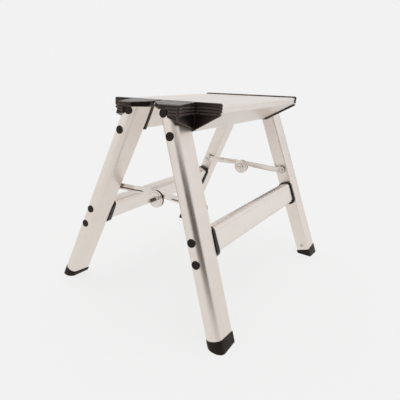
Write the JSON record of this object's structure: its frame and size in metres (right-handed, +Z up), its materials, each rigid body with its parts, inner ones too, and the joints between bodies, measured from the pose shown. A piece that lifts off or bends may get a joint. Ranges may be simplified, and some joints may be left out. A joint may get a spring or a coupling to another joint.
{
  "type": "folding step stool",
  "caption": "Folding aluminium step stool with a split platform, a lower step on each side, ribbed end caps, splayed D-section legs and over-centre folding stays.",
  "frame": {"origin": "on the floor under the middle of the platform", "axes": "+Z up, X along the hinge and the steps, -Y to the front step seen in the picture"},
  "size_m": [0.6002, 0.4634, 0.443],
  "materials": {
    "plank_aluminium": "satin anodised extrusion",
    "leg_aluminium": "polished satin anodised tube",
    "black_plastic": "moulded, fine grain",
    "foot_rubber": "moulded rubber",
    "stay_steel": "zinc plated pressing",
    "fastener_steel": "plated"
  },
  "bodies": {
    "rear_frame": {"far_rear_cap": "black_plastic", "far_rear_foot": "foot_rubber", "far_rear_leg": "leg_aluminium", "far_rear_leg_plugs": "black_plastic", "far_rear_step_socket": "black_plastic", "near_rear_cap": "black_plastic", "near_rear_foot": "foot_rubber", "near_rear_leg": "leg_aluminium", "near_rear_leg_plugs": "black_plastic", "near_rear_step_socket": "black_plastic", "rear_foot_screws": "fastener_steel", "rear_plank": "plank_aluminium", "rear_stay_bushes": "fastener_steel", "rear_stay_rivets": "fastener_steel", "rear_step": "plank_aluminium", "rear_step_screws": "fastener_steel"},
    "front_frame": {"far_front_cap": "black_plastic", "far_front_foot": "foot_rubber", "far_front_leg": "leg_aluminium", "far_front_leg_plugs": "black_plastic", "far_front_step_socket": "black_plastic", "front_foot_screws": "fastener_steel", "front_plank": "plank_aluminium", "front_stay_bushes": "fastener_steel", "front_stay_rivets": "fastener_steel", "front_step": "plank_aluminium", "front_step_screws": "fastener_steel", "hinge_pins": "fastener_steel", "near_front_cap": "black_plastic", "near_front_foot": "foot_rubber", "near_front_leg": "leg_aluminium", "near_front_leg_plugs": "black_plastic", "near_front_step_socket": "black_plastic"},
    "near_rear_stay": {"near_outer_centre_rivet": "fastener_steel", "near_outer_disc": "stay_steel", "near_rear_link": "stay_steel", "near_spring": "fastener_steel"},
    "near_front_stay": {"near_front_link": "stay_steel", "near_inner_centre_rivet": "fastener_steel", "near_inner_disc": "stay_steel"},
    "far_rear_stay": {"far_outer_centre_rivet": "fastener_steel", "far_outer_disc": "stay_steel", "far_rear_link": "stay_steel", "far_spring": "fastener_steel"},
    "far_front_stay": {"far_front_link": "stay_steel", "far_inner_centre_rivet": "fastener_steel", "far_inner_disc": "stay_steel"}
  },
  "joints": [
    {"name": "fold", "type": "hinge", "parent": "rear_frame", "child": "front_frame", "pos_m": [0, 0, 0.4365], "axis": [1, 0, 0], "range_deg": [0, 42]},
    {"name": "near_rear_stay_pivot", "type": "hinge", "parent": "rear_frame", "child": "near_rear_stay", "pos_m": [-0.2122, 0.1156, 0.2438], "axis": [1, 0, 0], "range_deg": [-53.5, 0]},
    {"name": "near_front_stay_pivot", "type": "hinge", "parent": "front_frame", "child": "near_front_stay", "pos_m": [-0.2099, -0.1156, 0.2438], "axis": [1, 0, 0], "range_deg": [0, 53.5]},
    {"name": "far_rear_stay_pivot", "type": "hinge", "parent": "rear_frame", "child": "far_rear_stay", "pos_m": [0.2122, 0.1156, 0.2438], "axis": [1, 0, 0], "range_deg": [-53.5, 0]},
    {"name": "far_front_stay_pivot", "type": "hinge", "parent": "front_frame", "child": "far_front_stay", "pos_m": [0.2099, -0.1156, 0.2438], "axis": [1, 0, 0], "range_deg": [0, 53.5]}
  ],
  "couplings": [
    {"joint": "near_rear_stay_pivot", "follows": "fold", "ratio": -1.2705},
    {"joint": "near_front_stay_pivot", "follows": "fold", "ratio": 1.2705},
    {"joint": "far_rear_stay_pivot", "follows": "fold", "ratio": -1.2705},
    {"joint": "far_front_stay_pivot", "follows": "fold", "ratio": 1.2705}
  ]
}
